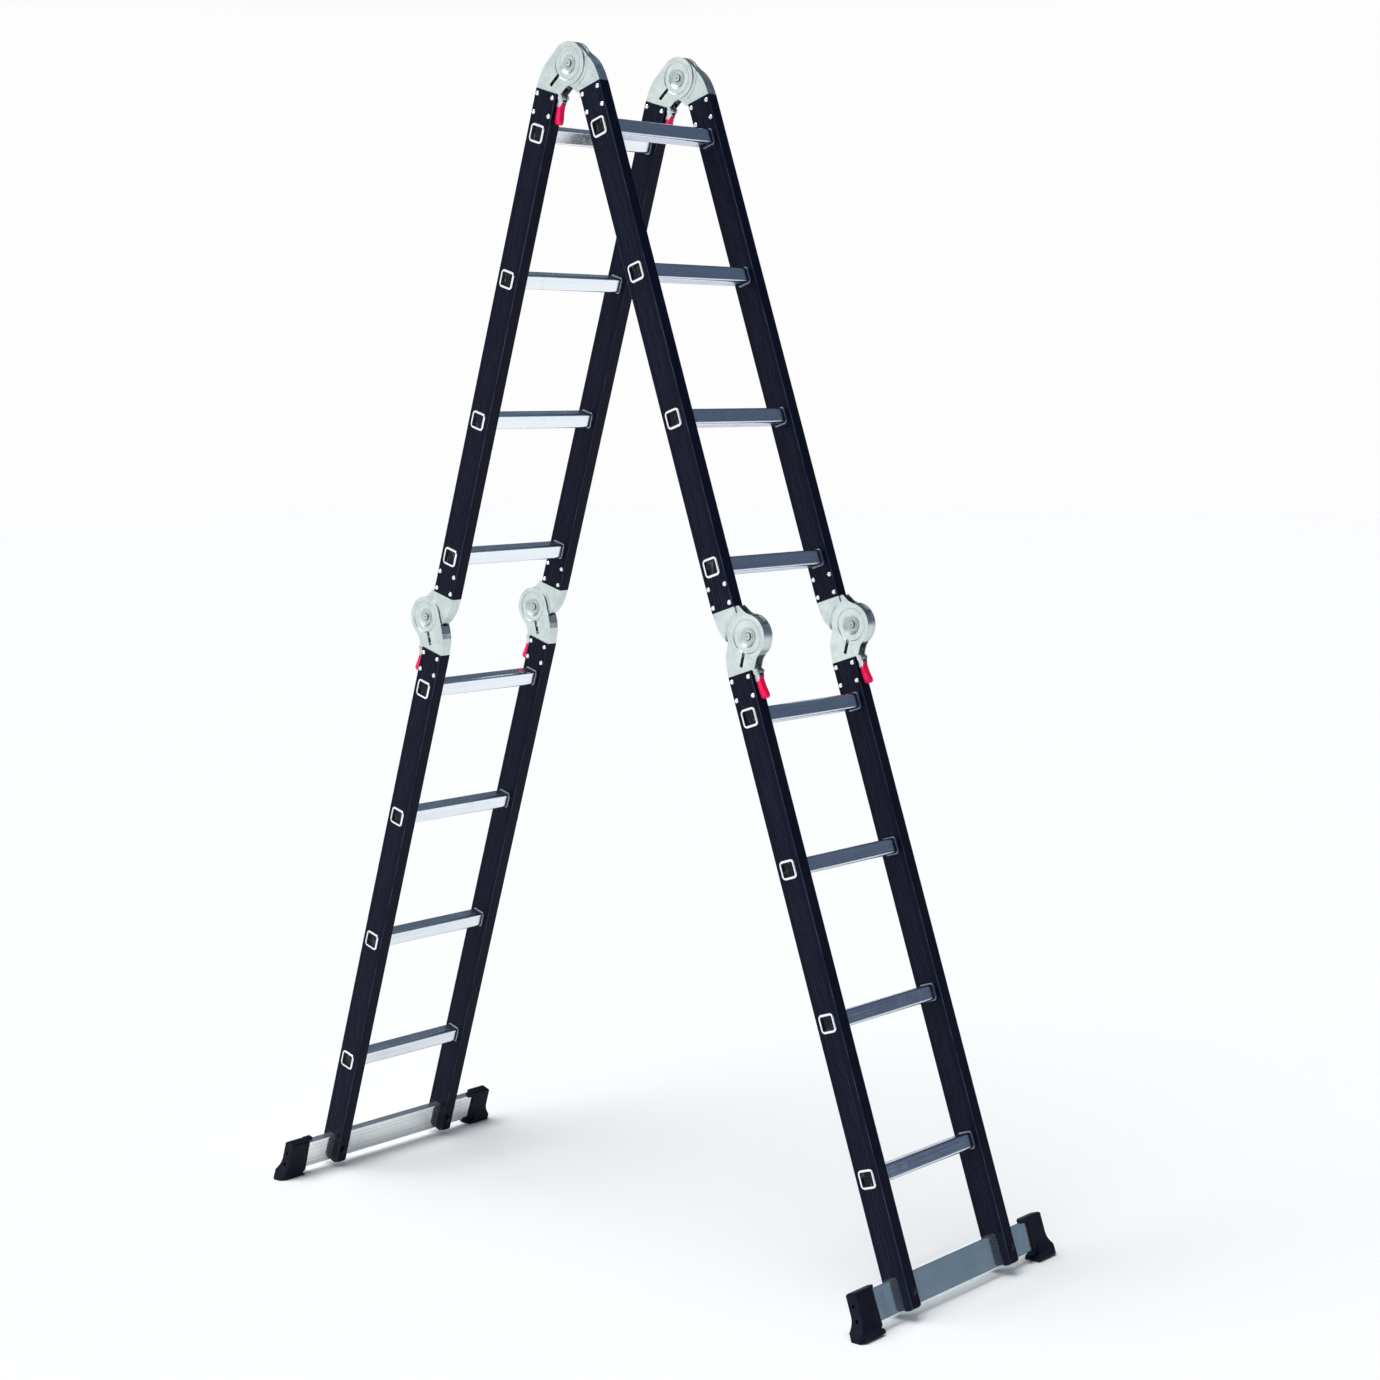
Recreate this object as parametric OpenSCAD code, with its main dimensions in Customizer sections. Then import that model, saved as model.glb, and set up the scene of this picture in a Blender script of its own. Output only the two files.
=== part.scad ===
// Folding hinge ladder: four sections of four rungs, joined by three pairs of
// self-locking hinges, standing as a double-sided step ladder. Millimetres, +Z up.
// The origin is on the floor, under the middle of the ladder.
//
// Each leg is drawn in its own flat frame and then leaned over: X is the
// distance outward from the top hinge axis, Y is across the ladder, and Z is
// minus the distance down the leg from that axis.

/* [Ladder] */
// Width over the stiles' outer faces
ladder_w = 336; // [300:2:420]
// Distance from rung to rung
pitch = 280; // [260:1:300]
// Rungs on each section
rungs_n = 4; // [3:1:5]
// Angle between the two legs in the step-ladder position
open_deg = 35.64; // [28:0.5:40]

/* [Stiles] */
// Depth of a stile, seen from the side
stile_d = 54; // [52:1:60]
// Thickness of a stile across the ladder
stile_t = 28; // [28:1:32]
// Outside corner radius of a stile
stile_r = 3; // [2:0.5:4]
// Wall of a stile
stile_wall = 2; // [1.6:0.2:2]
// Gap between two stiles that are folded together
fold_gap = 21.8; // [21:0.2:26]

/* [Rungs] */
// Side of the square rung tube
rung_a = 30; // [26:1:31]
// Corner radius of a rung
rung_r = 5; // [4:0.5:7]
// Wall of a rung
rung_wall = 1.6; // [1.2:0.1:2]

/* [Hinges] */
// Radius of the hinge discs
disc_r = 40; // [39:0.5:40]
// Radius of the pivot bolt
bolt_r = 6; // [5:0.5:6]
// Distance from the pivot to the end of each stile
stile_end = 59.5; // [59.5:0.5:62]
// Angle of the lock-pin slot from the leg's axis
slot_deg = 32; // [30:1:33]
// Width of the lock-pin slot
slot_w = 7; // [6:0.5:7.5]

/* [Stabilisers and feet] */
// Height of the stabiliser bar
bar_h = 60; // [50:2:60]
// Thickness of the stabiliser bar
bar_t = 16; // [14:1:20]
// Distance from the ladder's middle to the outer end of a foot's cap
foot_out = 289; // [270:1:320]
// Length of a foot's cap on the bar
cap_len = 50; // [44:1:60]
// How far the foot's base flares past its cap
foot_flare = 17; // [10:1:20]

/* [Hidden] */
$fn = 64;
e = 0.01;
th = open_deg / 2;                 // lean of one leg
off = (stile_d + fold_gap) / 2;    // stile centreline to hinge axis
leg_l = pitch * rungs_n;           // top hinge to middle hinge
bar_s = leg_l * 2 + 66;            // down the leg to the bar's middle
sole_s = 2 * leg_l + 113;          // down the leg to the floor at the stile's middle
top_z = sole_s * cos(th) - off * sin(th);   // height of the top hinge axis
yc = ladder_w / 2 - stile_t / 2;   // middle of a stile from the ladder's middle
half_d = stile_d / 2;
// hinge levels across the stile, from its middle
lv_out = stile_t / 2 - stile_wall; // outside of the lock plates
lv_plate = lv_out - 2.3;           // inside of the lock plates
lv_hub = lv_plate - 0.3;           // outside of the ratchet pack's cheeks
lv_disc = lv_hub - 2.5;            // outside of the ratchet disc
tail = 115;                        // how far hinge plates reach from the pivot
neck = [stile_end - 0.7, 3];       // where a plate's edge meets the gap
waist = [[50, -2.4], [45.5, -5.4], [42.6, -7.8], [40.3, -10.8], [38.3, -13.6]];
shoulder = [[16, 56], [26, 60], [40, 63]];
pin_in = disc_r + 2;               // lock pin, distance from the pivot
pin_len = 9;
pin_w = slot_w - 0.6;
lever_s = 65;                      // the lever's own pivot
lever_m = 2.5;
rivet_s = [68.8, 103.6];
rivet_m = 20;
SIDES = [-1, 1];

// ---------- frames ----------
// leg "b" leans out towards +X, leg "a" is its mirror image
module leg(l) {
  mirror([l == "a" ? 1 : 0, 0, 0]) translate([0, 0, top_z]) rotate([0, -th, 0]) children();
}
// hinge frames: X is towards the leg's stile, -Z is along it, Y is from the stile's middle
module at_top() { children(); }
module at_mid_lower() { translate([2 * off, 0, -leg_l]) mirror([1, 0, 0]) children(); }
module at_mid_upper() { translate([2 * off, 0, -leg_l]) mirror([1, 0, 0]) mirror([0, 0, 1]) children(); }
module side(k) { translate([0, k * yc, 0]) children(); }
// a shape drawn in X and Z, from y0 to y1
module across(y0, y1) { translate([0, y1, 0]) rotate([90, 0, 0]) linear_extrude(y1 - y0) children(); }
// the same on both sides of the middle plane
module both(y0, y1) { across(y0, y1) children(); across(-y1, -y0) children(); }
// a square with round corners, no hull
module rsq(a, b, r) {
  square([a - 2 * r, b], center = true);
  square([a, b - 2 * r], center = true);
  for (i = SIDES, j = SIDES) translate([i * (a / 2 - r), j * (b / 2 - r)]) circle(r, $fn = 32);
}
// where a line from p touches a circle of radius r about the pivot
function touch(p, r, sgn) = let(a = atan2(p[1], p[0]) + sgn * acos(r / norm(p))) [r * cos(a), r * sin(a)];
// points given as [along the leg, across it] in the hinge frame
function sm(p) = [for (q = p) [q[1], -q[0]]];

// ---------- stiles ----------
module stile_section() {
  difference() {
    rsq(stile_d, stile_t, stile_r);
    square([stile_d - 2 * stile_wall, stile_t - 2 * stile_wall], center = true);
    for (k = SIDES, x = [3, 8, 13]) for (i = SIDES)
      translate([i * x, k * (stile_t / 2 + 0.15)]) square([0.9, 1], center = true);
  }
}
module stile(s0, s1, rung0, bottom) {
  difference() {
    translate([off, 0, -s1]) linear_extrude(s1 - s0) stile_section();
    for (i = [0 : rungs_n - 1])
      translate([off, 0, -(rung0 + i * pitch)]) across(-stile_t, stile_t) rsq(rung_a + 0.1, rung_a + 0.1, rung_r);
    if (bottom) {
      // the side walls stop above the bar, the front and back walls run on as tabs
      translate([off, 0, -(bar_s - bar_h / 2 - 0.1) - 50]) cube([stile_d - 2 * stile_wall, 40, 100], center = true);
      translate([0, 0, -bar_s]) rotate([0, 90, 0]) cylinder(r = 4.1, h = 200);
      for (j = SIDES) mirror([0, j < 0 ? 1 : 0, 0]) translate([-10, 0, 0]) rotate([90, 0, 90]) linear_extrude(120)
        polygon(concat([[stile_t, -s1 - 5], [stile_t, -s1 + 7]], arc([stile_t / 2 - 7, -s1 + 7], 7.02, 0, -90, 8), [[stile_t / 2 - 7, -s1 - 5]]));
    }
    for (s = bottom ? [] : [s1 - (rivet_s[0] - stile_end), s1 - (rivet_s[1] - stile_end)]) rivet_holes(s, stile_t);
    for (s = [s0 + (rivet_s[0] - stile_end), s0 + (rivet_s[1] - stile_end)]) rivet_holes(s, stile_t);
  }
}
module rivet_holes(s, t) {
  for (i = SIDES) translate([off + i * rivet_m, 0, -s]) across(-t, t) circle(2.5, $fn = 24);
}
module stile_upper(k) {
  color([0.14, 0.13, 0.16]) side(k) stile(stile_end, leg_l - stile_end, pitch / 2, false);
}
module stile_lower(k) {
  color([0.14, 0.13, 0.16]) side(k) stile(leg_l + stile_end, bar_s + 28, leg_l + pitch / 2, true);
}

// ---------- rungs ----------
module rung_outline(g) {
  difference() {
    rsq(rung_a + g, rung_a + g, rung_r + g / 2);
    // fine grip ribs on the front and back treads
    if (g == 0) for (k = SIDES, i = [-3 : 3])
      translate([i * 2.6, k * (rung_a / 2 + 0.2)]) square([1, 1], center = true);
  }
}
module rung_one() {
  w = ladder_w / 2;
  difference() {
    union() {
      across(-w + stile_t, w - stile_t) rung_outline(0);
      both(w - stile_t - e, w + 1.2) rsq(rung_a, rung_a, rung_r);
      // the rolled-over ends
      both(w, w + 1.2) rsq(rung_a + 4.6, rung_a + 4.6, rung_r + 3);
      both(w - e, w + 2.1) rsq(rung_a + 2.4, rung_a + 2.4, rung_r + 1.9);
      // the beads against the stiles' inner faces
      both(w - stile_t - 1.8, w - stile_t) rsq(rung_a + 3.6, rung_a + 3.6, rung_r + 1.8);
      both(w - stile_t - 3, w - stile_t - 1.8) rsq(rung_a + 1.8, rung_a + 1.8, rung_r + 0.9);
    }
    across(-w - 9, w + 9) rsq(rung_a - 2 * rung_wall, rung_a - 2 * rung_wall, rung_r - rung_wall);
  }
}
module rungs(s0) {
  color([0.62, 0.66, 0.7]) for (i = [0 : rungs_n - 1]) translate([off, 0, -(s0 + i * pitch)]) rung_one();
}
module rung_plugs(s0) {
  a = rung_a - 2 * rung_wall - 0.1;
  r = rung_r - rung_wall;
  color([0.08, 0.08, 0.09]) for (i = [0 : rungs_n - 1], k = SIDES)
    translate([off, k * ladder_w / 2, -(s0 + i * pitch)]) mirror([0, k < 0 ? 1 : 0, 0]) difference() {
      across(-14, -0.6) rsq(a, a, r);
      across(-2.2, 1) rsq(a - 4, a - 4, r - 1);
      across(-20, -4) rsq(a - 3, a - 3, r - 1);
    }
}

// ---------- rivets ----------
module rivet_one(s) {
  for (k = SIDES, i = SIDES) translate([off + i * rivet_m, k * yc, -s]) {
    rotate([90, 0, 0]) cylinder(r = 2.5, h = stile_t, center = true, $fn = 24);
    for (j = SIDES) mirror([0, j < 0 ? 1 : 0, 0]) translate([0, stile_t / 2, 0]) rotate([-90, 0, 0])
      rotate_extrude($fn = 32) polygon([[0, 0], [4.4, 0], [4.4, 0.5], [3.9, 1.2], [2.9, 1.75], [1.5, 2.05], [0, 2.15]]);
  }
}
module rivets_upper() {
  color([0.8, 0.82, 0.84]) for (s = rivet_s) { rivet_one(s); rivet_one(leg_l - s); }
}
module rivets_lower() {
  color([0.8, 0.82, 0.84]) for (s = rivet_s) rivet_one(leg_l + s);
}

// ---------- hinge plates ----------
function arc(c, r, a0, a1, n) = [for (i = [0 : n]) let(a = a0 + (a1 - a0) * i / n) [c[0] + r * cos(a), c[1] + r * sin(a)]];
function ang(p) = atan2(p[1], p[0]);
// one closed outline: down the gap side, round the tail, up the back edge and round the disc
module plate_outline() {
  n2 = touch(shoulder[0], disc_r, 1);
  polygon(sm(concat([neck, [neck[0], 13.2], [tail, 13.2], [tail, 2 * off - 13.2], [neck[0], 2 * off - 13.2], [neck[0], 64.8]],
    [for (i = [len(shoulder) - 1 : -1 : 0]) shoulder[i]],
    arc([0, 0], disc_r, ang(n2), 338, 72), [for (i = [len(waist) - 1 : -1 : 0]) waist[i]])));
}
module slot_shape(r0, r1, w) { rotate(-90 + slot_deg) translate([r0, -w / 2]) square([r1 - r0, w]); }
module tail_rivets() { for (s = rivet_s, i = SIDES) translate([off + i * rivet_m, -s]) circle(2.5, $fn = 24); }
module punch_marks() { for (p = [[33, 55], [52.5, 55.5], [47.5, 13]]) translate([p[1], -p[0]]) circle(1.9, $fn = 24); }
// a shape drawn as [distance from the pivot, level], turned about the pivot's axis
module turned(p) { rotate([-90, 0, 0]) rotate_extrude($fn = 96) polygon(p); }
// the folded edge that joins a leaf's two plates on the side away from the gap
module edge_web(from, inner) {
  n2 = touch(shoulder[0], disc_r, 1);
  k = (shoulder[0][1] - n2[1]) / (shoulder[0][0] - n2[0]);
  p = concat([[from, shoulder[0][1] + (from - shoulder[0][0]) * k]], shoulder, [[neck[0] - 0.05, 64.8]]);
  d = [2.9, 2.6, 2.4, 2.3, 2.3];
  across(-inner - 1, inner + 1) polygon(sm(concat([for (q = p) [q[0], q[1] - 0.06]], [for (i = [4 : -1 : 0]) [p[i][0], p[i][1] - d[i]]])));
}
module lock_plate() {
  difference() {
    union() {
      difference() {
        across(lv_plate, lv_out) plate_outline();
        turned([[0, lv_out - 0.9], [30, lv_out - 0.9], [31.6, lv_out + 0.1], [0, lv_out + 0.1]]);
        turned([[0, lv_plate - 1], [20, lv_plate - 1], [20, lv_out], [0, lv_out]]);
      }
      // the dished middle
      turned([[bolt_r + 0.05, lv_out - 6.8], [11.8, lv_out - 6.8], [18.6, lv_plate + 0.04], [23, lv_plate + 0.04],
        [23, lv_out - 0.94], [21.2, lv_out - 0.94], [13.4, lv_out - 4.8], [bolt_r + 0.05, lv_out - 4.8]]);
    }
    across(lv_plate - 1, lv_out + 1) {
      slot_shape(28.5, pin_in + pin_len + 6.6, slot_w);
      tail_rivets();
      // the plate stops at the pivot's level beyond the disc
      difference() { translate([20, -0.3]) square([60, 90]); circle(46.4, $fn = 96); }
    }
    across(lv_out - 0.5, lv_out + 1) punch_marks();
  }
  // the ear that carries the lever's pin
  across(lv_plate - 2, lv_plate + 0.3) difference() {
    union() {
      polygon(sm([[54, 5.8], [lever_s - 3, lever_m - 4], [lever_s, lever_m], [lever_s - 3, lever_m + 4], [58, 12.1], [54, 12.1]]));
      translate([lever_m, -lever_s]) circle(5, $fn = 48);
    }
    translate([lever_m, -lever_s]) circle(2.05, $fn = 24);
  }
}
module lock_plates() {
  color([0.78, 0.8, 0.8]) for (k = SIDES) side(k) { lock_plate(); mirror([0, 1, 0]) lock_plate(); edge_web(3, lv_plate); }
}

// the other leaf: two cheeks and the notched disc between them, riveted up as one
module notches(w) { for (a = [0, open_deg, 180]) rotate(-90 - slot_deg - a) translate([disc_r - 9, -w / 2]) square([20, w]); }
module leaf_cheek() {
  difference() {
    across(lv_disc, lv_out) difference() {
      plate_outline();
      notches(slot_w);
      tail_rivets();
    }
    // the inner plates pass under the lock plates: only the stile's side stands up to their level
    turned([[0, lv_disc - 1], [20.4, lv_disc - 1], [20.4, lv_hub], [47, lv_hub], [50.8, lv_out + 0.2], [0, lv_out + 0.2]]);
    across(lv_hub, lv_out + 1) {
      translate([11.2 - 90, -200]) square([90, 300]);
      translate([-100, -0.4]) square([200, 100]);
    }
    across(lv_out - 0.5, lv_out + 1) punch_marks();
  }
}
module ratchet_leaf() {
  leaf_cheek();
  mirror([0, 1, 0]) leaf_cheek();
  edge_web(4, lv_disc);
  difference() {
    across(-lv_disc - 0.4, lv_disc + 0.4) difference() {
      circle(disc_r - 0.5, $fn = 128);
      circle(bolt_r + 0.05);
      notches(slot_w + 0.1);
    }
    both(lv_out - 7.1, lv_disc + 2) circle(15.8, $fn = 96);
    both(lv_disc, lv_disc + 2) circle(20.6, $fn = 96);
  }
}
module ratchet_leaves() { color([0.74, 0.77, 0.77]) for (k = SIDES) side(k) ratchet_leaf(); }

// ---------- pivot bolts and lever pins ----------
module pivot_bolts() {
  color([0.7, 0.73, 0.74]) for (k = SIDES) side(k) {
    rotate([90, 0, 0]) cylinder(r = bolt_r, h = 2 * lv_out - 9.6 + e, center = true);
    for (j = SIDES) mirror([0, j < 0 ? 1 : 0, 0]) translate([0, lv_out - 4.8, 0]) rotate([-90, 0, 0])
      rotate_extrude($fn = 64) polygon([[0, 0], [10, 0], [10, 0.9], [9.4, 1.3], [6.4, 1.3], [6.4, 3.1], [5.6, 4.0], [3, 4.3], [2.6, 3.7], [0, 3.7]]);
    translate([lever_m, 0, -lever_s]) rotate([90, 0, 0]) cylinder(r = 2, h = 2 * lv_plate + 0.8, center = true, $fn = 32);
    for (j = SIDES) translate([lever_m, j * (lv_plate + 0.7), -lever_s]) rotate([90, 0, 0]) cylinder(r = 3, h = 0.8, center = true, $fn = 32);
  }
}
module lever_springs() {
  color([0.6, 0.62, 0.64]) for (k = SIDES) side(k) translate([lever_m, 0, -lever_s]) {
    rotate([90, 0, 0]) for (i = [-2.5 : 2.5]) translate([0, 0, i * 1.3]) rotate_extrude($fn = 32) translate([2.8, 0]) circle(0.6, $fn = 8);
    // its two straight ends
    translate([2.8, 3.25, 0.5]) cylinder(r = 0.55, h = 9, $fn = 8);
    translate([-2.8, -3.25, -0.5]) rotate([0, 180, 0]) cylinder(r = 0.55, h = 5, $fn = 8);
  }
}

// ---------- release levers, grips and lock pins ----------
module lever(k) {
  color([0.8, 0.82, 0.84]) side(k) difference() {
    union() {
      both(5.4, 7.2) polygon(sm([[43, 20.5], [46.5, 23], [50.5, 17.5], [56, 11.8], [56.4, 10.9], [57.3, 8.8], [60, 9.2], [82, 9.6], [82, 1.5],
        [76, -1.2], [68, -2.4], [62, -2.2], [56, 2.6], [53, 5.2], [48.5, 10.2], [45, 15]]));
      across(-7.2, 7.2) polygon(sm([[72, 4.4], [82, 4.4], [82, 2], [72, 2]]));
      across(-5.4, 5.4) polygon(sm([[81, 5.4], [106, 5.4], [108, 4.4], [108, 3], [106, 2], [81, 2]]));
    }
    translate([lever_m, 0, -lever_s]) rotate([90, 0, 0]) cylinder(r = 2.06, h = 40, center = true, $fn = 32);
  }
}
module grip(k) {
  // an oval paddle, moulded over the lever's tongue
  color([0.8, 0.05, 0.08]) side(k) difference() {
    intersection() {
      across(-8, 8) polygon(sm(concat(
        [[83.2, 9.4], [79, 9.4], [74, 8], [73.2, 5], [73.2, -1], [74, -3], [80, -4]], [[90, -4.2], [100, -5], [108, -6.4]],
        arc([110.5, -2.4], 4.6, -110, 20, 8), arc([109.5, 3.6], 5.6, 20, 90, 6))));
      translate([40, 0, 0]) rotate([0, -90, 0]) linear_extrude(80) union() {
        translate([-109, 0]) circle(6.2, $fn = 48);
        translate([-109, -6.2]) square([5, 12.4]);
        translate([-105, -7.4]) square([24, 14.8]);
        translate([-108, -6.6]) square([29, 13.2]);
        translate([-81.5, -7.4]) square([8.5, 14.8]);
      }
    }
    // the socket for the lever
    across(-7.21, 7.21) polygon(sm([[60, 12], [82.01, 12], [82.01, -6], [60, -6]]));
    across(-5.41, 5.41) polygon(sm([[80, 5.41], [106, 5.41], [108.01, 4.41], [108.01, 2.99], [106, 1.99], [80, 1.99]]));
  }
}
module lock_pin(k) {
  color([0.1, 0.1, 0.11]) side(k) across(-lv_out + 0.4, lv_out - 0.4) slot_shape(pin_in, pin_in + pin_len, pin_w);
}

// ---------- stabiliser bars, inserts, bolts and feet ----------
module stabiliser_bar() {
  w = foot_out - 3;
  color([0.62, 0.66, 0.7]) translate([off, 0, -bar_s]) difference() {
    across(-w, w) difference() {
      rsq(bar_t, bar_h, 2.5);
      rsq(bar_t - 4, bar_h - 4, 1.2);
      for (k = SIDES, j = [-20, -12, 12, 20]) translate([k * (bar_t / 2 + 0.2), j]) square([1, 1.2], center = true);
    }
    for (k = SIDES) translate([0, k * yc, 0]) rotate([0, 90, 0]) cylinder(r = 4.1, h = 60, center = true);
  }
}
module stile_inserts() {
  a = stile_d - 2 * stile_wall - 0.1;
  color([0.1, 0.1, 0.11]) for (k = SIDES) side(k) translate([off, 0, -bar_s]) difference() {
    across(-stile_t / 2 + stile_wall + 0.05, stile_t / 2 - stile_wall - 0.05) difference() {
      union() {
        translate([-a / 2, -24]) square([a, 70]);
        translate([-a / 2 + 6, -31]) square([a - 12, 10]);
        for (i = SIDES) translate([i * (a / 2 - 7), -24]) circle(7);
      }
      translate([-bar_t / 2 - 0.1, -60]) square([bar_t + 0.2, 60 + bar_h / 2 + 0.1]);
    }
    rotate([0, 90, 0]) cylinder(r = 4.1, h = 80, center = true);
  }
}
module bar_bolts() {
  color([0.75, 0.77, 0.78]) for (k = SIDES) side(k) translate([off, 0, -bar_s]) rotate([0, 90, 0]) {
    cylinder(r = 4, h = stile_d + 2 * e, center = true, $fn = 48);
    // domed head outside, nut inside
    translate([0, 0, half_d]) rotate_extrude($fn = 48) polygon([[0, 0], [6.6, 0], [6.6, 0.6], [5.8, 1.8], [4, 2.7], [2, 3.1], [0, 3.2]]);
    translate([0, 0, -half_d - 1.2]) cylinder(r = 7.5, h = 1.2, $fn = 48);
    translate([0, 0, -half_d - 6]) cylinder(r = 6.5, h = 4.8, $fn = 6);
  }
}
// a point on the floor under the leg, at distance n from the hinge plane
function floor_s(n) = (top_z + n * sin(th)) / cos(th);
// One moulding fits every end of both bars. flip turns it so that its lips are
// on the other face; only the slope of the sole follows the side it stands on.
module foot(flip) {
  y0 = foot_out - cap_len;
  y1 = foot_out;
  h = bar_h / 2 + 5;
  t = bar_t / 2 + 3;
  w = 17.5;
  difference() {
    intersection() {
      // seen along the bar: level where it stands, then rising outwards
      across(y0 - 20, y1 + 30) polygon(
        [[off - t, -bar_s + h - 2.5], [off - t + 2.5, -bar_s + h], [off + t - 2.5, -bar_s + h], [off + t, -bar_s + h - 2.5],
         [off + t, -bar_s - 4], [off + t + 0.8, -bar_s - 16], [off + t + 2.5, -bar_s - 26], [off + w, -bar_s - 36],
         [off + w, -floor_s(off + 5) + 2], [off + w - 2, -floor_s(off + 5)], [off + 5, -floor_s(off + 5)],
         [off - w + 2, -floor_s(off - w + 2)], [off - w, -floor_s(off - w) + 2.5],
         [off - w, -bar_s - 35], [off - t - 2.5, -bar_s - 26], [off - t - 0.8, -bar_s - 16], [off - t, -bar_s - 4]]);
      // seen from the front
      translate([200, 0, 0]) rotate([0, -90, 0]) linear_extrude(400) polygon([
        [-bar_s + h, y0 + 2], [-bar_s + h, y1 - 3], [-bar_s + h - 3, y1], [-bar_s - 6, y1], [-bar_s - 13, y1 + 1.2],
        [-bar_s - 20, y1 + 4.2], [-bar_s - 28, y1 + foot_flare - 7.5], [-bar_s - 36, y1 + foot_flare - 1.8], [-bar_s - 40, y1 + foot_flare], [-bar_s - 90, y1 + foot_flare],
        [-bar_s - 90, y0 + 3], [-bar_s - 42, y0 + 3], [-bar_s - 38, y0 + 7], [-bar_s - 35.6, y0 + 1], [-bar_s - 34, y0]]);
      // seen from above: the flared corners are cut off
      translate([off, 0, -bar_s - 100]) linear_extrude(160) polygon([[-w - 1, y0 - 30], [w + 1, y0 - 30], [w + 1, y1 + foot_flare - 10.5],
        [w - 9, y1 + foot_flare + 1], [9 - w, y1 + foot_flare + 1], [-w - 1, y1 + foot_flare - 10.5]]);
    }
    // the toes on both faces narrow to a wedge at the top
    for (i = SIDES) translate([off + i * (t + 8.3), 0, 0]) rotate([0, -90, 0]) linear_extrude(16, center = true) polygon([
      [-bar_s - 1, y0 + 24], [-bar_s - 38, y0 + 9.5], [-bar_s - 39, y0 - 9], [-bar_s + 1, y0 - 9]]);
    // the socket for the bar
    translate([off, 0, -bar_s]) across(y0 - 60, y1 - 2.95) rsq(bar_t + 0.1, bar_h + 0.1, 2.5);
    // two small windows in the end wall
    for (j = [-14, 12]) translate([off, y1, -bar_s + j]) cube([6, 20, 6], center = true);
  }
  // the lips that reach along the bar on one face
  for (j = SIDES) translate([off, 0, -bar_s]) mirror([flip ? 1 : 0, 0, 0]) across(y0 - 14, y0 + 5) union() {
    translate([bar_t / 2 + 0.05, j > 0 ? h - 8.5 : -h + 0.5]) square([t - bar_t / 2 - 0.05, 8]);
    translate([0, j > 0 ? bar_h / 2 + 0.05 : -h + 0.5]) square([t, h - bar_h / 2 - 0.55]);
  }
}
// k is the end of the bar, -1 near and 1 far
module foot_at(k, flip) { color([0.09, 0.09, 0.1]) mirror([0, k < 0 ? 1 : 0, 0]) foot(flip); }

// ---------- assembly ----------
leg("a") stile_upper(-1);  // stile_near_a_upper
leg("a") stile_upper(1);  // stile_far_a_upper
leg("b") stile_upper(-1);  // stile_near_b_upper
leg("b") stile_upper(1);  // stile_far_b_upper
leg("a") stile_lower(-1);  // stile_near_a_lower
leg("a") stile_lower(1);  // stile_far_a_lower
leg("b") stile_lower(-1);  // stile_near_b_lower
leg("b") stile_lower(1);  // stile_far_b_lower
leg("a") rungs(pitch / 2);  // rungs_a_upper
leg("b") rungs(pitch / 2);  // rungs_b_upper
leg("a") rungs(leg_l + pitch / 2);  // rungs_a_lower
leg("b") rungs(leg_l + pitch / 2);  // rungs_b_lower
leg("a") rung_plugs(pitch / 2);  // rung_plugs_a_upper
leg("b") rung_plugs(pitch / 2);  // rung_plugs_b_upper
leg("a") rung_plugs(leg_l + pitch / 2);  // rung_plugs_a_lower
leg("b") rung_plugs(leg_l + pitch / 2);  // rung_plugs_b_lower
leg("a") rivets_upper();  // rivets_a_upper
leg("b") rivets_upper();  // rivets_b_upper
leg("a") rivets_lower();  // rivets_a_lower
leg("b") rivets_lower();  // rivets_b_lower
leg("a") stabiliser_bar();  // stabiliser_bar_a
leg("b") stabiliser_bar();  // stabiliser_bar_b
leg("a") foot_at(-1, false);  // foot_near_a
leg("a") foot_at(1, true);  // foot_far_a
leg("b") foot_at(-1, true);  // foot_near_b
leg("b") foot_at(1, false);  // foot_far_b
leg("a") stile_inserts();  // stile_inserts_a
leg("b") stile_inserts();  // stile_inserts_b
leg("a") bar_bolts();  // bar_bolts_a
leg("b") bar_bolts();  // bar_bolts_b
leg("a") at_top() lock_plates();  // lock_plates_top
leg("a") at_mid_lower() lock_plates();  // lock_plates_mid_a
leg("b") at_mid_lower() lock_plates();  // lock_plates_mid_b
leg("b") at_top() ratchet_leaves();  // ratchet_leaves_top
leg("a") at_mid_upper() ratchet_leaves();  // ratchet_leaves_mid_a
leg("b") at_mid_upper() ratchet_leaves();  // ratchet_leaves_mid_b
leg("a") at_top() pivot_bolts();  // pivot_bolts_top
leg("a") at_mid_lower() pivot_bolts();  // pivot_bolts_mid_a
leg("b") at_mid_lower() pivot_bolts();  // pivot_bolts_mid_b
leg("a") at_top() lever_springs();  // lever_springs_top
leg("a") at_mid_lower() lever_springs();  // lever_springs_mid_a
leg("b") at_mid_lower() lever_springs();  // lever_springs_mid_b
leg("a") at_top() lever(-1);  // lever_top_near
leg("a") at_top() lever(1);  // lever_top_far
leg("a") at_mid_lower() lever(-1);  // lever_mid_a_near
leg("a") at_mid_lower() lever(1);  // lever_mid_a_far
leg("b") at_mid_lower() lever(-1);  // lever_mid_b_near
leg("b") at_mid_lower() lever(1);  // lever_mid_b_far
leg("a") at_top() grip(-1);  // grip_top_near
leg("a") at_top() grip(1);  // grip_top_far
leg("a") at_mid_lower() grip(-1);  // grip_mid_a_near
leg("a") at_mid_lower() grip(1);  // grip_mid_a_far
leg("b") at_mid_lower() grip(-1);  // grip_mid_b_near
leg("b") at_mid_lower() grip(1);  // grip_mid_b_far
leg("a") at_top() lock_pin(-1);  // lock_pin_top_near
leg("a") at_top() lock_pin(1);  // lock_pin_top_far
leg("a") at_mid_lower() lock_pin(-1);  // lock_pin_mid_a_near
leg("a") at_mid_lower() lock_pin(1);  // lock_pin_mid_a_far
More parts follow.
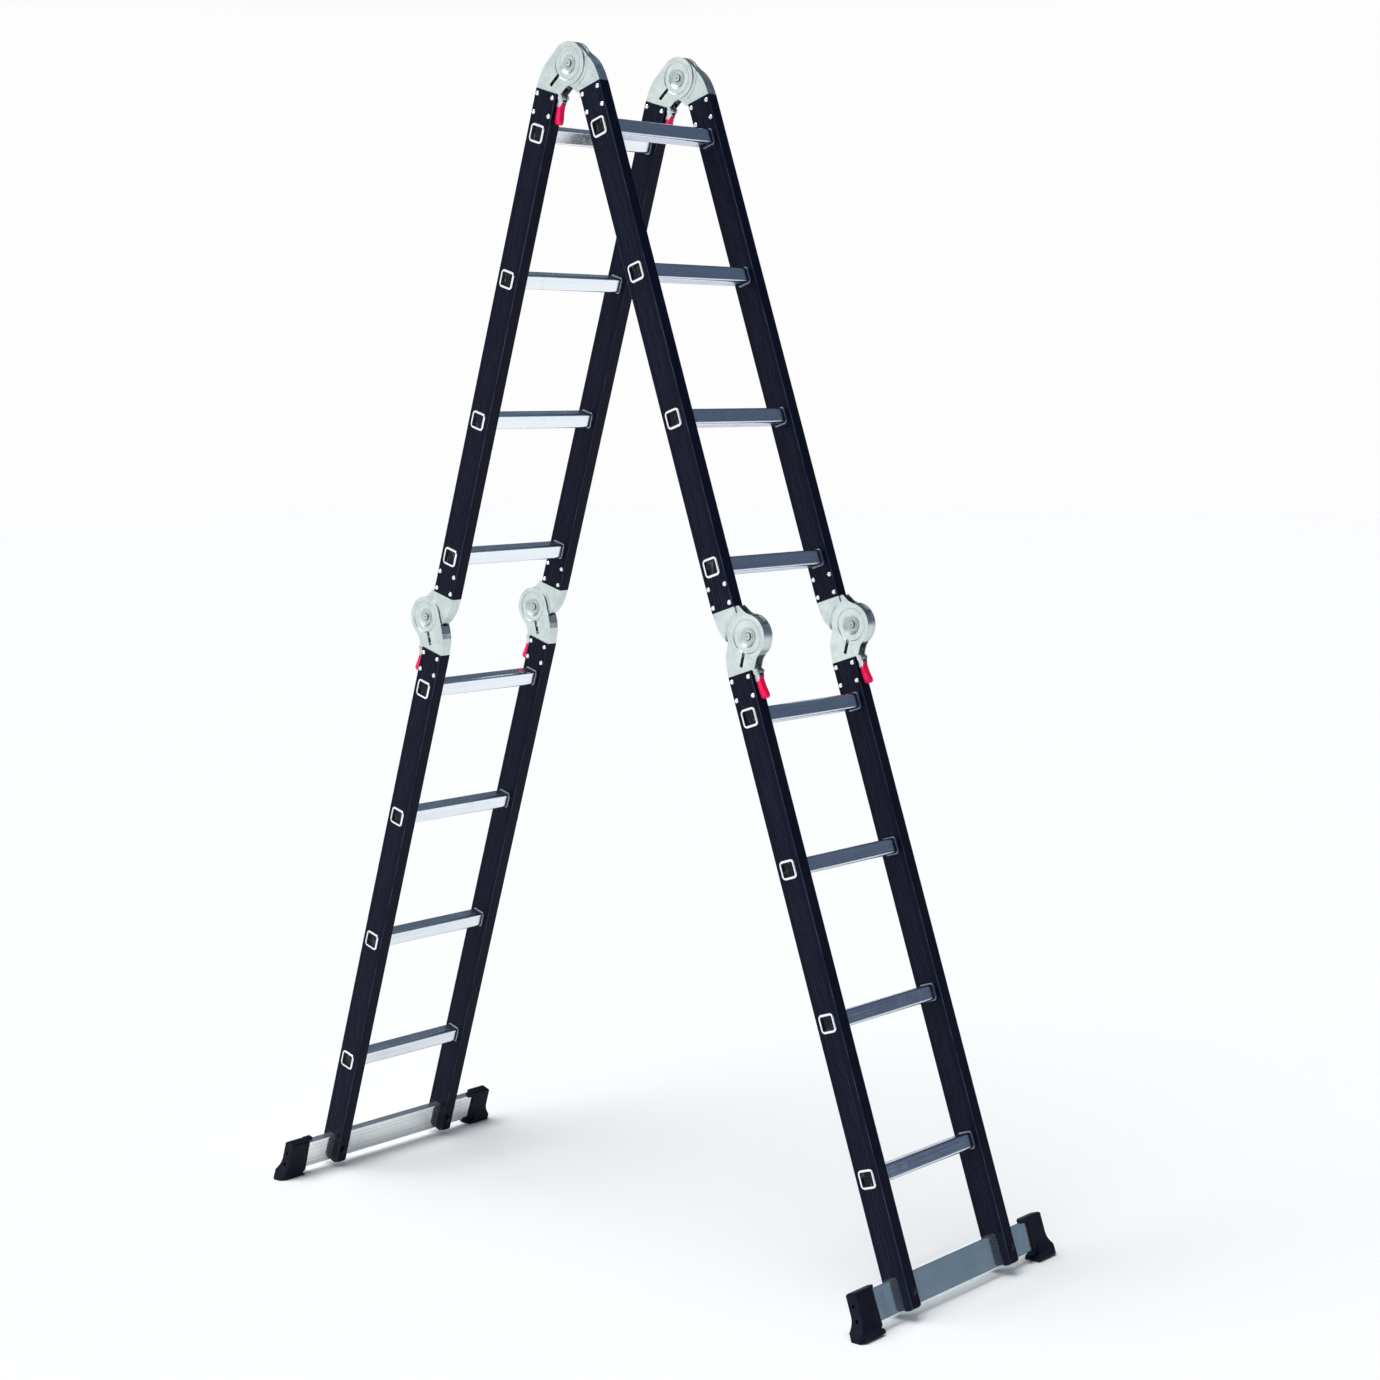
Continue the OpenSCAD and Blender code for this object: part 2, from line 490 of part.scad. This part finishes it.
leg("b") at_mid_lower() lock_pin(-1);  // lock_pin_mid_b_near
leg("b") at_mid_lower() lock_pin(1);  // lock_pin_mid_b_far
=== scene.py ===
import bpy, bmesh, math
from mathutils import Vector, Matrix


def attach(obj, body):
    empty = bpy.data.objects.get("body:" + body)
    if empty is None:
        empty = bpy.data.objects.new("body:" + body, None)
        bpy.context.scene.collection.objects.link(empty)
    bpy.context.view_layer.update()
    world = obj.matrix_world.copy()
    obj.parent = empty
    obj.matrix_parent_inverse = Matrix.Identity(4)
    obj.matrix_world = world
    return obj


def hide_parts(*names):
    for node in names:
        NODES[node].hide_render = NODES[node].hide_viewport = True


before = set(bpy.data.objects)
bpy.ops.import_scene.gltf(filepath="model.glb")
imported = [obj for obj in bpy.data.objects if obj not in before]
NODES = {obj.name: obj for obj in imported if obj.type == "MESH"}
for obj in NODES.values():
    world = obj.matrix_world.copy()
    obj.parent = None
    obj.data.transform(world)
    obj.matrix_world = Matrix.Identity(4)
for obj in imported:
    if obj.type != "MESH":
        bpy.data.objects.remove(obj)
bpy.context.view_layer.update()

# ---------------------------------------------------------------- geometry frame
OPEN = math.radians(35.64)
TH = OPEN / 2
OFF = 37.9
LEG = 1120.0
BAR_S = 2 * LEG + 66
SOLE_S = 2 * LEG + 113
TOP_Z = SOLE_S * math.cos(TH) - OFF * math.sin(TH)
YC = 154.0


def leg(l, n, y, s):
    """Leg frame in mm (outward, across, down the leg) to the row frame in metres."""
    x = n * math.cos(TH) + s * math.sin(TH)
    z = TOP_Z + n * math.sin(TH) - s * math.cos(TH)
    return Vector(((-x if l == "a" else x) / 1000, y / 1000, z / 1000))


HINGES = {
    "top": ("a", lambda m, s: (m, s)),
    "mid_a": ("a", lambda m, s: (2 * OFF - m, LEG + s)),
    "mid_b": ("b", lambda m, s: (2 * OFF - m, LEG + s)),
}


def hinge(h, m, y, s):
    """Hinge frame of the lock half in mm (towards the stile, across, down the stile)."""
    l, f = HINGES[h]
    n, d = f(m, s)
    return leg(l, n, y, d)


# ---------------------------------------------------------------- material kit
class Mat:
    def __init__(self, name):
        self.m = bpy.data.materials.new(name)
        self.m.use_nodes = True
        self.t = self.m.node_tree
        self.bsdf = self.t.nodes["Principled BSDF"]
        self.coord = self.add("ShaderNodeTexCoord")
        self.pos = self.coord.outputs["Object"]

    def add(self, kind, **kw):
        n = self.t.nodes.new(kind)
        for k, v in kw.items():
            setattr(n, k, v)
        return n

    def link(self, a, b):
        self.t.links.new(a, b)

    def mapping(self, scale, rot=(0, 0, 0), src=None):
        n = self.add("ShaderNodeMapping")
        n.vector_type = "TEXTURE" if False else "POINT"
        n.inputs["Rotation"].default_value = rot
        n.inputs["Scale"].default_value = scale
        self.link(src or self.pos, n.inputs["Vector"])
        return n.outputs["Vector"]

    def rotated(self, angle):
        n = self.add("ShaderNodeVectorRotate", rotation_type="Y_AXIS")
        n.inputs["Angle"].default_value = angle
        self.link(self.pos, n.inputs["Vector"])
        return n.outputs["Vector"]

    def noise(self, vec, scale, detail=4.0, rough=0.55, distortion=0.0):
        n = self.add("ShaderNodeTexNoise")
        n.inputs["Scale"].default_value = scale
        n.inputs["Detail"].default_value = detail
        n.inputs["Roughness"].default_value = rough
        n.inputs["Distortion"].default_value = distortion
        self.link(vec, n.inputs["Vector"])
        return n.outputs["Fac"]

    def voronoi(self, vec, scale):
        n = self.add("ShaderNodeTexVoronoi")
        n.inputs["Scale"].default_value = scale
        self.link(vec, n.inputs["Vector"])
        return n

    def remap(self, v, a, b, c, d, smooth=True):
        n = self.add("ShaderNodeMapRange")
        n.interpolation_type = "SMOOTHSTEP" if smooth else "LINEAR"
        for k, x in (("From Min", a), ("From Max", b), ("To Min", c), ("To Max", d)):
            n.inputs[k].default_value = x
        self.link(v, n.inputs["Value"])
        return n.outputs["Result"]

    def math(self, op, a, b=None):
        n = self.add("ShaderNodeMath", operation=op)
        for i, x in enumerate((a, b)):
            if x is None:
                continue
            if isinstance(x, (int, float)):
                n.inputs[i].default_value = x
            else:
                self.link(x, n.inputs[i])
        return n.outputs[0]

    def mix(self, fac, a, b):
        n = self.add("ShaderNodeMix", data_type="RGBA")
        n.clamp_factor = True
        if isinstance(fac, (int, float)):
            n.inputs["Factor"].default_value = fac
        else:
            self.link(fac, n.inputs["Factor"])
        for k, x in ((6, a), (7, b)):
            if isinstance(x, tuple):
                n.inputs[k].default_value = (*x, 1.0)
            else:
                self.link(x, n.inputs[k])
        return n.outputs[2]

    def bump(self, height, strength, distance, normal=None):
        n = self.add("ShaderNodeBump")
        n.inputs["Strength"].default_value = strength
        n.inputs["Distance"].default_value = distance
        self.link(height, n.inputs["Height"])
        if normal is not None:
            self.link(normal, n.inputs["Normal"])
        return n.outputs["Normal"]

    def edges(self, radius, lo, hi):
        """How near a point is to a sharp edge: the bevelled normal leans off the true one there."""
        b = self.add("ShaderNodeBevel", samples=4)
        b.inputs["Radius"].default_value = radius
        g = self.add("ShaderNodeNewGeometry")
        d = self.add("ShaderNodeVectorMath", operation="DOT_PRODUCT")
        self.link(b.outputs["Normal"], d.inputs[0])
        self.link(g.outputs["Normal"], d.inputs[1])
        return self.remap(d.outputs["Value"], lo, hi, 1.0, 0.0)

    def out(self, **kw):
        for k, v in kw.items():
            s = self.bsdf.inputs[k.replace("_", " ").replace("  ", " ")]
            if isinstance(v, tuple):
                s.default_value = (*v, 1.0) if len(v) == 3 and s.type == "RGBA" else v
            elif isinstance(v, (int, float)):
                s.default_value = v
            else:
                self.link(v, s)
        return self.m


def stile_mat(name, leg_sign):
    """Black anodised extrusion: die lines along the stile, painted highlight lines in its grooves, a painted highlight
    along each rounded corner, sharp edges rubbed lighter, faint dust.
    """
    k = Mat(name)
    v = k.rotated(leg_sign * TH)
    lines = k.noise(k.mapping((900, 900, 5), src=v), 1.0, 3.0, 0.6)
    fine = k.noise(k.mapping((2600, 2600, 9), src=v), 1.0, 2.0, 0.6)
    cloud = k.noise(v, 7.0, 5.0, 0.6)
    dust = k.noise(v, 55.0, 6.0, 0.65)
    # slow noise that breaks up both the edge wear and the painted highlights on corners and grooves
    wear_and_highlight_breakup = k.remap(k.noise(k.mapping((260, 260, 22), src=v), 1.0, 4.0, 0.7), 0.35, 0.65, 0.25, 1.0)
    # distance from the stile's middle plane, across and through the ladder
    dot = k.add("ShaderNodeVectorMath", operation="DOT_PRODUCT")
    k.link(k.pos, dot.inputs[0])
    dot.inputs[1].default_value = (leg_sign * math.cos(TH), 0, math.sin(TH))
    n = k.math("ABSOLUTE", k.math("SUBTRACT", dot.outputs["Value"], (OFF + TOP_Z * math.sin(TH)) / 1000))
    sep = k.add("ShaderNodeSeparateXYZ")
    k.link(k.pos, sep.inputs[0])
    y = k.math("ABSOLUTE", k.math("SUBTRACT", k.math("ABSOLUTE", sep.outputs["Y"]), YC / 1000))
    # painted highlight along the stile's rounded corners, where side and front faces meet and catch the light
    corner_highlight = k.math("MAXIMUM", k.math("SUBTRACT", 0.027, n), k.math("SUBTRACT", 0.014, y))
    corner_highlight = k.remap(corner_highlight, 0.0010, 0.0019, 1, 0)
    # painted highlight lines along the three grooves
    groove_highlight = None
    for g in (0.003, 0.008, 0.013):
        x = k.remap(k.math("ABSOLUTE", k.math("SUBTRACT", n, g)), 0.0005, 0.0008, 1, 0)
        groove_highlight = x if groove_highlight is None else k.math("MAXIMUM", groove_highlight, x)
    base = k.mix(k.remap(lines, 0.3, 0.7, 0, 1), (0.0026, 0.0034, 0.0132), (0.0046, 0.0060, 0.0195))
    base = k.mix(k.math("MULTIPLY", k.remap(cloud, 0.45, 0.75, 0, 1), 0.35), base, (0.0066, 0.0082, 0.0205))
    base = k.mix(k.math("MULTIPLY", k.remap(dust, 0.62, 0.8, 0, 1), 0.08), base, (0.06, 0.06, 0.07))
    base = k.mix(k.math("MULTIPLY", k.math("MULTIPLY", groove_highlight, wear_and_highlight_breakup), 0.45), base, (0.045, 0.055, 0.085))
    base = k.mix(k.math("MULTIPLY", k.math("MULTIPLY", corner_highlight, wear_and_highlight_breakup), 0.60), base, (0.10, 0.125, 0.18))
    wear = k.math("MULTIPLY", k.edges(0.0009, 0.82, 0.985), wear_and_highlight_breakup)
    base = k.mix(k.math("MULTIPLY", wear, 0.22), base, (0.12, 0.125, 0.15))
    rough = k.math("ADD", k.remap(fine, 0.3, 0.7, 0.28, 0.38), k.remap(cloud, 0.35, 0.75, -0.02, 0.08))
    nn = k.bump(lines, 0.14, 0.0002)
    nn = k.bump(fine, 0.08, 0.0001, nn)
    return k.out(Base_Color=base, Metallic=0.0, Roughness=rough, Normal=nn, Specular_IOR_Level=0.07)


def rung_mat(name, tint=(0.87, 0.91, 0.95), dark=(0.77, 0.82, 0.88), rough=(0.13, 0.20), ends=True, relief=1.0, marks=0.25, metal=1.0):
    """Mill-finish aluminium tube: draw lines along it, small scuffs and a few scratches. Its rolled-over ends are
    lighter, and the beads against the stiles get painted shade.
    """
    k = Mat(name)
    lines = k.noise(k.mapping((900, 2.5, 900)), 1.0, 3.0, 0.6)
    broad = k.noise(k.mapping((140, 1.2, 140)), 1.0, 3.0, 0.6)
    cloud = k.noise(k.pos, 22.0, 5.0, 0.62)
    scuff = k.noise(k.mapping((70, 260, 70)), 1.0, 5.0, 0.75, 1.2)
    base = k.mix(k.remap(lines, 0.25, 0.75, 0, 1), dark, tint)
    base = k.mix(k.math("MULTIPLY", k.remap(broad, 0.4, 0.7, 0, 1), 0.35), base, tuple(min(1, c * 1.07) for c in tint))
    base = k.mix(k.math("MULTIPLY", k.remap(cloud, 0.52, 0.8, 0, 1), 0.30), base, tuple(c * 0.70 for c in dark))
    base = k.mix(k.math("MULTIPLY", k.remap(scuff, 0.67, 0.75, 0, 1), marks), base, (0.90, 0.91, 0.92))
    if not ends:
        # pale and darker patches across the flat of the bar
        bar_patches = k.noise(k.mapping((9, 34, 9)), 1.0, 4.0, 0.6, 0.8)
        base = k.mix(k.math("MULTIPLY", k.remap(bar_patches, 0.55, 0.74, 0, 1), 0.5), base, (0.96, 0.98, 0.98))
        base = k.mix(k.math("MULTIPLY", k.remap(bar_patches, 0.45, 0.30, 0, 1), 0.35), base, tuple(c * 0.72 for c in dark))
    r = k.math("ADD", k.remap(lines, 0.25, 0.75, rough[0], rough[1]), k.remap(cloud, 0.4, 0.75, 0.0, 0.10 if ends else 0.04))
    if ends:
        sep = k.add("ShaderNodeSeparateXYZ")
        k.link(k.pos, sep.inputs[0])
        end = k.remap(k.math("ABSOLUTE", sep.outputs["Y"]), 0.1655, 0.1675, 0, 1)
        base = k.mix(k.math("MULTIPLY", end, 0.85), base, (0.96, 0.97, 0.97))
        # painted shade on the beads where the rungs meet the stiles, hiding their bright reflection
        bead_shade = k.remap(k.math("ABSOLUTE", k.math("SUBTRACT", k.math("ABSOLUTE", sep.outputs["Y"]), 0.1385)), 0.0012, 0.0019, 1, 0)
        base = k.mix(k.math("MULTIPLY", bead_shade, 0.88), base, (0.10, 0.125, 0.17))
        r = k.math("ADD", r, k.math("MULTIPLY", bead_shade, 0.25))
    n = k.bump(lines, 0.07 * relief, 0.00015)
    n = k.bump(scuff, 0.04 * relief, 0.0002, n)
    return k.out(Base_Color=base, Metallic=metal, Roughness=r, Normal=n)


def zinc_mat(name, tint=(0.66, 0.735, 0.715), dark=(0.56, 0.635, 0.62), rough=(0.24, 0.36), metallic=1.0, dish=False):
    """Pressed steel with pale zinc plate: soft spangle, press marks, brighter rubbed edges."""
    k = Mat(name)
    cloud = k.noise(k.pos, 45.0, 5.0, 0.6)
    grain = k.noise(k.pos, 900.0, 3.0, 0.6)
    base = k.mix(k.remap(cloud, 0.3, 0.72, 0, 1), dark, tint)
    base = k.mix(k.math("MULTIPLY", k.remap(k.noise(k.pos, 130.0, 6.0, 0.7), 0.62, 0.85, 0, 1), 0.10), base, tuple(c * 0.7 for c in dark))
    edge = k.edges(0.0012, 0.80, 0.985)
    base = k.mix(k.math("MULTIPLY", edge, 0.5), base, (0.93, 0.95, 0.95))
    r = k.math("ADD", k.remap(cloud, 0.3, 0.7, rough[0], rough[1]), k.remap(grain, 0.3, 0.7, -0.03, 0.05))
    if dish:
        # painted shade in the dished middle round each pivot and in a ring at the dish's lip, with raised roughness in
        # the middle
        d = None
        for h in HINGES:
            p = hinge(h, 0, 0, 0)
            a = k.add("ShaderNodeVectorMath", operation="SUBTRACT")
            k.link(k.pos, a.inputs[0])
            a.inputs[1].default_value = (p.x, 0, p.z)
            b = k.add("ShaderNodeVectorMath", operation="MULTIPLY")
            k.link(a.outputs["Vector"], b.inputs[0])
            b.inputs[1].default_value = (1, 0, 1)
            c = k.add("ShaderNodeVectorMath", operation="LENGTH")
            k.link(b.outputs["Vector"], c.inputs[0])
            d = c.outputs["Value"] if d is None else k.math("MINIMUM", d, c.outputs["Value"])
        if dish == "bolt":
            # the peened end of the pivot: a dark ring painted round the dome as the shade at its edge, and a dark
            # centre mark
            ring = k.remap(k.math("ABSOLUTE", k.math("SUBTRACT", d, 0.0068)), 0.0005, 0.0014, 1, 0)
            dot = k.remap(d, 0.0012, 0.0022, 1, 0)
            base = k.mix(k.math("MULTIPLY", k.math("MAXIMUM", ring, dot), 0.75), base, (0.07, 0.085, 0.09))
        dish_shade = k.remap(d, 0.0125, 0.0205, 1, 0)
        lip_shade = k.remap(k.math("ABSOLUTE", k.math("SUBTRACT", d, 0.0306)), 0.0006, 0.0022, 1, 0)
        shade_breakup = k.remap(k.noise(k.pos, 160.0, 5.0, 0.65), 0.3, 0.7, 0.55, 1.0)
        base = k.mix(k.math("MULTIPLY", k.math("MULTIPLY", dish_shade, shade_breakup), 0.10 if dish == "bolt" else 0.30), base, (0.26, 0.30, 0.30))
        base = k.mix(k.math("MULTIPLY", k.math("MULTIPLY", lip_shade, shade_breakup), 0.30), base, (0.24, 0.28, 0.28))
        r = k.math("ADD", r, k.math("MULTIPLY", dish_shade, 0.22))
    n = k.bump(grain, 0.10, 0.0001)
    n = k.bump(k.noise(k.pos, 60.0, 3.0, 0.5), 0.05, 0.0006, n)
    return k.out(Base_Color=base, Metallic=metallic, Roughness=r, Normal=n)


def plastic_mat(name, base_a, base_b, rough, coat=0.0, scale=300.0, bump=0.08, spec=0.5, sheen_amount=0.0):
    k = Mat(name)
    cloud = k.noise(k.pos, 30.0, 4.0, 0.6)
    grain = k.noise(k.pos, scale, 3.0, 0.6)
    scr = k.noise(k.mapping((700, 90, 700)), 1.0, 4.0, 0.7, 0.8)
    base = k.mix(k.remap(cloud, 0.3, 0.7, 0, 1), base_a, base_b)
    edge = k.math("MULTIPLY", k.edges(0.0008, 0.80, 0.985), 0.25)
    base = k.mix(edge, base, tuple(min(1, c * 1.8 + 0.02) for c in base_b))
    if sheen_amount:
        # painted highlight: lighter streaks standing in for the glossy plug's curved highlights
        sheen_streaks = k.noise(k.mapping((150, 40, 62)), 1.0, 2.0, 0.5, 0.6)
        base = k.mix(k.math("MULTIPLY", k.remap(sheen_streaks, 0.56, 0.68, 0, 1), sheen_amount), base, (0.16, 0.19, 0.20))
    r = k.math("ADD", k.remap(grain, 0.3, 0.7, rough[0], rough[1]), k.remap(scr, 0.62, 0.75, 0.0, 0.12))
    n = k.bump(grain, bump, 0.0002)
    m = k.out(Base_Color=base, Metallic=0.0, Roughness=r, Normal=n, Coat_Weight=coat, Coat_Roughness=0.06, Specular_IOR_Level=spec)
    return m


M = {}
M["stile_a"] = stile_mat("stile_black_a", -1)
M["stile_b"] = stile_mat("stile_black_b", 1)
# one aluminium in lit and shaded copies: leg b's rungs and bar get darker, bluer tints as painted shade and painted
# reflection of the dark card, leg a's bar a near-white painted reflection of the pale floor
M["rung_a"] = rung_mat("rung_aluminium_lit_a")
M["rung_b"] = rung_mat("rung_aluminium_shaded_b", tint=(0.72, 0.76, 0.86), dark=(0.60, 0.63, 0.73))
M["bar_a"] = rung_mat("bar_aluminium_lit_a", tint=(0.97, 0.99, 0.985), dark=(0.93, 0.96, 0.96), rough=(0.08, 0.12), ends=False, relief=0.012, marks=0.0, metal=0.92)
M["bar_b"] = rung_mat("bar_aluminium_shaded_b", tint=(0.84, 0.98, 1.0), dark=(0.76, 0.91, 0.95), rough=(0.08, 0.12), ends=False, relief=0.012, marks=0.0, metal=0.91)
M["plate"] = zinc_mat("hinge_zinc", dish=True)
M["leaf"] = zinc_mat("leaf_zinc", tint=(0.64, 0.71, 0.70), dark=(0.54, 0.61, 0.60))
M["lever"] = zinc_mat("lever_zinc", tint=(0.76, 0.79, 0.80), dark=(0.60, 0.63, 0.65), rough=(0.22, 0.36))
M["rivet"] = zinc_mat("rivet_zinc", tint=(0.93, 0.94, 0.94), dark=(0.80, 0.82, 0.83), rough=(0.20, 0.32), metallic=0.85)
M["bolt"] = zinc_mat("bolt_zinc", tint=(0.66, 0.70, 0.70), dark=(0.50, 0.54, 0.55), rough=(0.26, 0.36), dish="bolt")
M["plug"] = plastic_mat("plug_plastic", (0.003, 0.005, 0.011), (0.006, 0.009, 0.018), (0.10, 0.16), scale=420, spec=0.14, sheen_amount=0.40)
M["black"] = plastic_mat("black_plastic", (0.006, 0.007, 0.018), (0.011, 0.013, 0.030), (0.38, 0.52), scale=700, bump=0.15, spec=0.15)
M["pin"] = plastic_mat("pin_black", (0.0035, 0.0045, 0.0090), (0.0065, 0.0075, 0.0140), (0.34, 0.46), scale=900, spec=0.16)
M["rubber"] = plastic_mat("foot_rubber", (0.0040, 0.0050, 0.0125), (0.0080, 0.0095, 0.0205), (0.46, 0.62), scale=900, bump=0.22, spec=0.10)
M["red"] = plastic_mat("grip_red", (0.96, 0.002, 0.085), (1.0, 0.004, 0.125), (0.20, 0.30), coat=0.10, scale=500, bump=0.05, spec=0.22)


def mat_for(name):
    if name.startswith("stile_inserts"):
        return M["black"]
    if name.startswith("stile_"):
        return M["stile_a"] if "_a_" in name else M["stile_b"]
    if name.startswith("rungs_"):
        return M["rung_a"] if "_a_" in name else M["rung_b"]
    if name.startswith("stabiliser_bar_"):
        return M["bar_" + name[-1]]
    for p, m in (("rung_plugs", "plug"), ("rivets", "rivet"), ("foot", "rubber"),
                 ("bar_bolts", "pin"), ("pivot", "bolt"), ("lock_plates", "plate"), ("ratchet", "leaf"),
                 ("lever_springs", "bolt"), ("lever", "lever"), ("grip", "red"), ("lock_pin", "pin")):
        if name.startswith(p):
            return M[m]


for name, o in NODES.items():
    o.data.materials.clear()
    o.data.materials.append(mat_for(name))


# ---------------------------------------------------------------- red grips
def loft(name, rings, sub=2):
    bm = bmesh.new()
    rows = [[bm.verts.new(p) for p in r] for r in rings]
    n = len(rows[0])
    for a, b in zip(rows, rows[1:]):
        for i in range(n):
            bm.faces.new((a[i], a[(i + 1) % n], b[(i + 1) % n], b[i]))
    bm.faces.new(list(reversed(rows[0])))
    bm.faces.new(rows[-1])
    bmesh.ops.recalc_face_normals(bm, faces=bm.faces)
    me = bpy.data.meshes.new(name)
    bm.to_mesh(me)
    bm.free()
    for p in me.polygons:
        p.use_smooth = True
    o = bpy.data.objects.new(name, me)
    bpy.context.scene.collection.objects.link(o)
    if sub:
        s = o.modifiers.new("sub", "SUBSURF")
        s.levels = sub
        s.render_levels = sub
    return o


# a ring of the grip: distance down, inner and outer m, half width across
GRIP = [(73.6, 8.0, -0.2, 5.6), (74.2, 9.0, -1.4, 6.6), (77.5, 9.7, -2.1, 7.3), (83, 9.8, -2.0, 7.4), (90, 9.8, -2.6, 7.3),
        (97, 9.8, -4.2, 7.2), (103, 9.8, -5.8, 7.0), (108.5, 9.6, -7.0, 6.6), (112.2, 8.6, -6.9, 5.8), (114.4, 6.4, -4.8, 4.4), (114.9, 4.2, -2.8, 2.8)]
for h in HINGES:
    for side, k in (("near", -1), ("far", 1)):
        rings = []
        for s, mi, mo, w in GRIP:
            c, hm = (mi + mo) / 2, (mi - mo) / 2
            ring = []
            for i in range(16):
                a = 2 * math.pi * i / 16
                ca, sa = math.cos(a), math.sin(a)
                # a rounded box section with a crowned thumb face
                e = 0.55
                y = w * math.copysign(abs(ca) ** e, ca)
                m = c + hm * math.copysign(abs(sa) ** e, sa)
                ring.append(hinge(h, m, k * YC + y, s))
            rings.append(ring)
        g = loft(f"grip_skin_{h}_{side}", rings)
        g.data.materials.append(M["red"])
        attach(g, f"release_{h}_{side}")
        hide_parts(f"grip_{h}_{side}")

# ---------------------------------------------------------------- floor, light, camera
bpy.ops.mesh.primitive_plane_add(size=60, location=(0, 0, -0.0005))
floor = bpy.context.object
floor.name = "floor"
kf = Mat("floor_pale")
fc = kf.noise(kf.pos, 0.6, 4.0, 0.5)
floor.data.materials.append(kf.out(Base_Color=kf.mix(fc, (0.965, 0.950, 0.930), (0.98, 0.965, 0.945)), Roughness=0.8, Specular_IOR_Level=0.2))

w = bpy.data.worlds.new("studio")
bpy.context.scene.world = w
w.use_nodes = True
wt = w.node_tree
bg = wt.nodes["Background"]
tc = wt.nodes.new("ShaderNodeTexCoord")
sep = wt.nodes.new("ShaderNodeSeparateXYZ")
wt.links.new(tc.outputs["Generated"], sep.inputs[0])
ramp = wt.nodes.new("ShaderNodeValToRGB")
el = ramp.color_ramp.elements
el[0].position, el[0].color = 0.0, (0.50, 0.50, 0.50, 1)
el[1].position, el[1].color = 0.46, (0.985, 0.985, 0.985, 1)
for p, c in ((0.575, (0.985, 0.985, 0.985, 1)), (0.64, (0.11, 0.15, 0.21, 1)), (0.80, (0.07, 0.10, 0.145, 1)), (1.0, (0.35, 0.38, 0.42, 1))):
    e = el.new(p)
    e.color = c
mr = wt.nodes.new("ShaderNodeMapRange")
mr.inputs["From Min"].default_value = -1
wt.links.new(sep.outputs["Z"], mr.inputs["Value"])
wt.links.new(mr.outputs["Result"], ramp.inputs["Fac"])
# a dark card to the right of the set, out of the picture, that the outer faces mirror
side = wt.nodes.new("ShaderNodeMapRange")
side.interpolation_type = "SMOOTHSTEP"
side.inputs["From Min"].default_value = 0.15
side.inputs["From Max"].default_value = 0.45
wt.links.new(sep.outputs["X"], side.inputs["Value"])
card = wt.nodes.new("ShaderNodeMix")
card.data_type = "RGBA"
card.inputs[7].default_value = (0.10, 0.135, 0.19, 1)
wt.links.new(side.outputs["Result"], card.inputs["Factor"])
wt.links.new(ramp.outputs["Color"], card.inputs[6])
wt.links.new(card.outputs[2], bg.inputs["Color"])
bg.inputs["Strength"].default_value = 1.0


def area(name, loc, target, size, power, color=(1, 1, 1)):
    d = bpy.data.lights.new(name, "AREA")
    d.energy = power
    d.size = size
    d.color = color
    o = bpy.data.objects.new(name, d)
    bpy.context.scene.collection.objects.link(o)
    o.location = loc
    o.rotation_euler = (Vector(target) - Vector(loc)).to_track_quat("-Z", "Y").to_euler()
    return o


def sun(name, direction, angle, power, color=(1, 1, 1)):
    d = bpy.data.lights.new(name, "SUN")
    d.energy = power
    d.angle = math.radians(angle)
    d.color = color
    o = bpy.data.objects.new(name, d)
    bpy.context.scene.collection.objects.link(o)
    o.rotation_euler = (-Vector(direction)).to_track_quat("-Z", "Y").to_euler()
    return o


sun("overhead", (-0.25, -0.55, 1.6), 60, 2.72)
sun("front", (-1.6, -5.6, 1.4), 38, 0.50)

cam_d = bpy.data.cameras.new("camera")
cam_d.lens = 66.87
cam_d.sensor_width = 36
cam_d.clip_end = 100
cam = bpy.data.objects.new("camera", cam_d)
bpy.context.scene.collection.objects.link(cam)
yaw, pitch, roll = math.radians(40.66), math.radians(-6.23), math.radians(-0.70)
fwd = Vector((-math.sin(yaw) * math.cos(pitch), math.cos(yaw) * math.cos(pitch), math.sin(pitch)))
right = Vector((math.cos(yaw), math.sin(yaw), 0))
up = right.cross(fwd)
c, s = math.cos(roll), math.sin(roll)
xc = c * right + s * up
yc = -s * right + c * up
zc = -fwd
mw = Matrix.Identity(4)
for i in range(3):
    mw[i][0], mw[i][1], mw[i][2] = xc[i], yc[i], zc[i]
mw.translation = Vector((3.30816, -3.69168, 1.58886))
cam.matrix_world = mw
bpy.context.scene.camera = cam
bpy.context.scene.view_settings.view_transform = "Standard"
bpy.context.scene.view_settings.look = "None"

bpy.context.view_layer.update()
